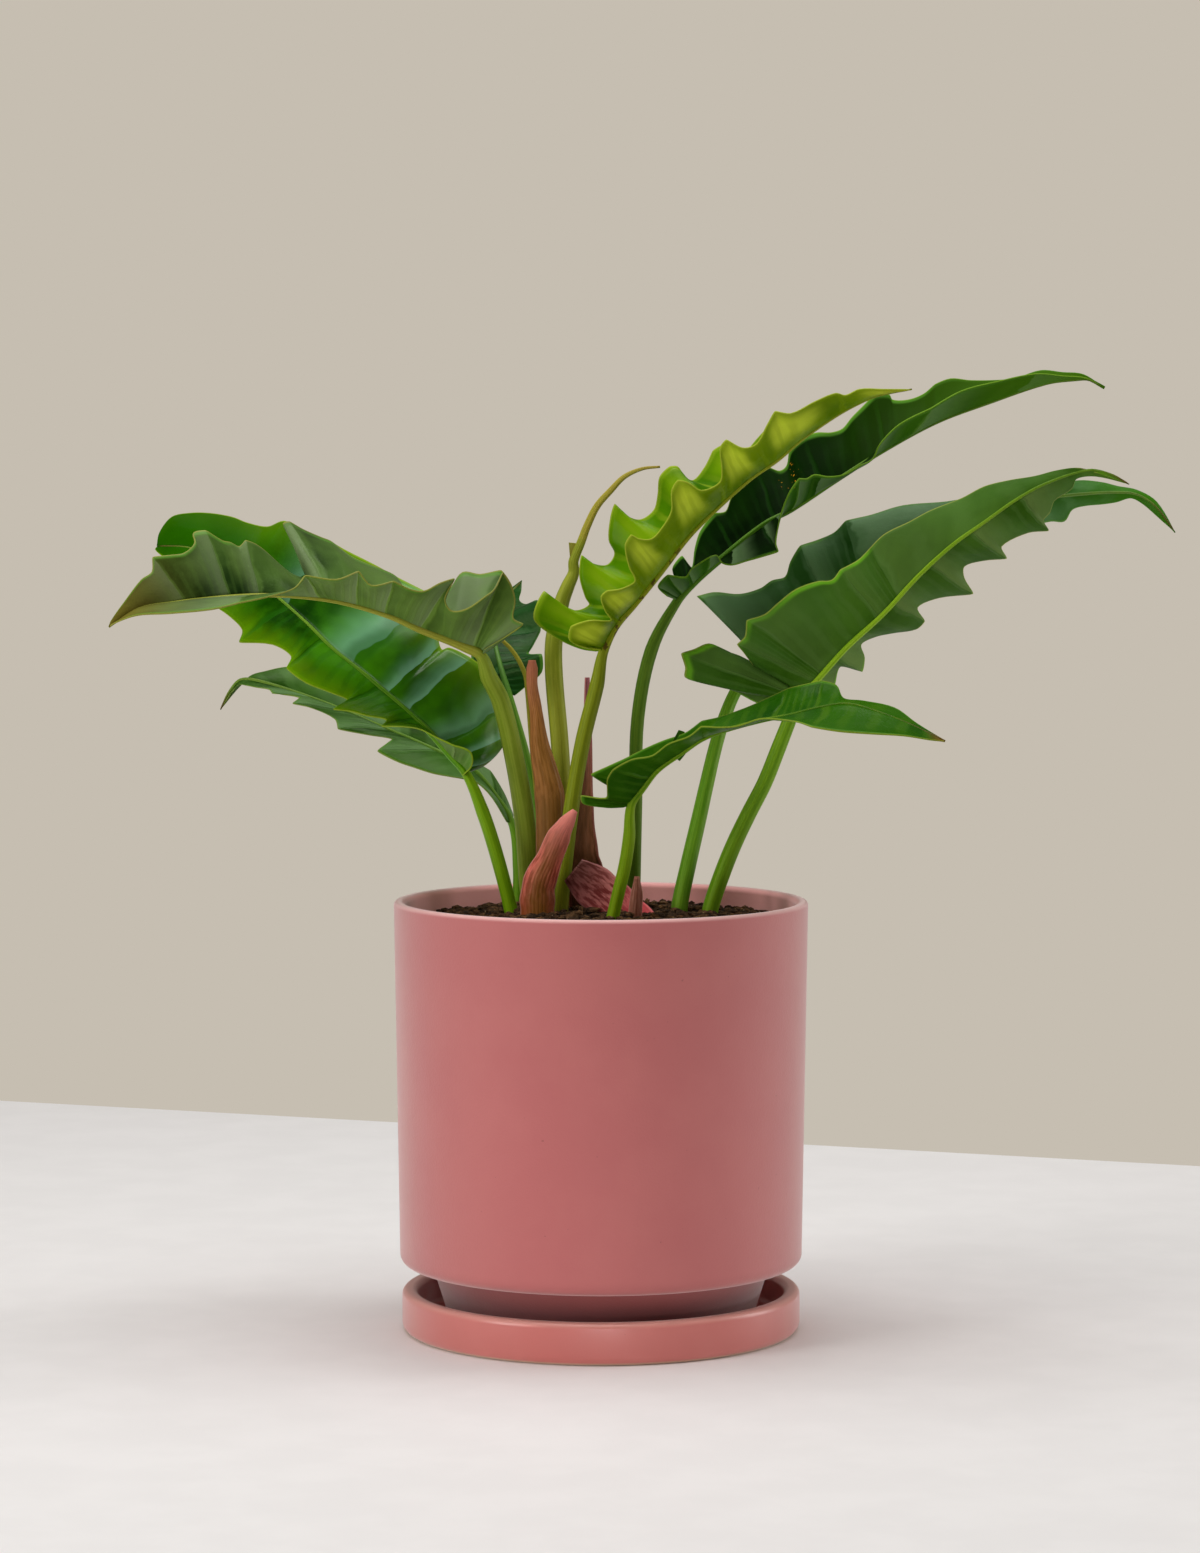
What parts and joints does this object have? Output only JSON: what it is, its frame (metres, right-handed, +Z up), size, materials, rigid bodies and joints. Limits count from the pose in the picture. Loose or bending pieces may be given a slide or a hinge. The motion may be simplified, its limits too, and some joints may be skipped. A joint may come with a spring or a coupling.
{
  "type": "potted houseplant",
  "caption": "Philodendron with long, arching, deeply toothed leaves, growing from soil in a round tapered ceramic pot that stands on its matching saucer.",
  "frame": {"origin": "centre of the saucer's flat underside", "axes": "+Z up, -Y towards the viewer of the picture, +X to the viewer's right"},
  "size_m": [0.5431, 0.2826, 0.4883],
  "materials": {
    "pot": "matte rose-pink coating",
    "saucer": "satin rose-pink glaze",
    "soil": "crumbly dark bark and peat mix",
    "leaf_green": "glossy waxy leaf",
    "leaf_olive": "satin leaf underside",
    "leaf_dark": "glossy waxy leaf",
    "leaf_lime": "glossy young leaf",
    "sheath_brown": "dry papery sheath",
    "sheath_pink": "ribbed satin sheath",
    "stalk_yellow": "satin stalk"
  },
  "bodies": {
    "root": {"leaf_left_arching": "leaf_olive", "leaf_left_glossy": "leaf_green", "leaf_left_low": "leaf_dark", "leaf_back_dark": "leaf_dark", "leaf_young_lime": "leaf_lime", "leaf_back_right": "leaf_dark", "leaf_right_broad": "leaf_green", "leaf_right_behind": "leaf_dark", "leaf_front_small": "leaf_green", "spear_rolled_leaf": "leaf_lime", "stalk_thin_yellow": "stalk_yellow", "sheath_front_red": "sheath_pink", "sheath_tall_brown": "sheath_brown", "sheath_slim_brown": "sheath_brown", "sheath_pink_ribbed": "sheath_pink", "sheath_small_pink": "sheath_pink", "soil": "soil", "pot": "pot", "saucer": "saucer"}
  },
  "joints": []
}
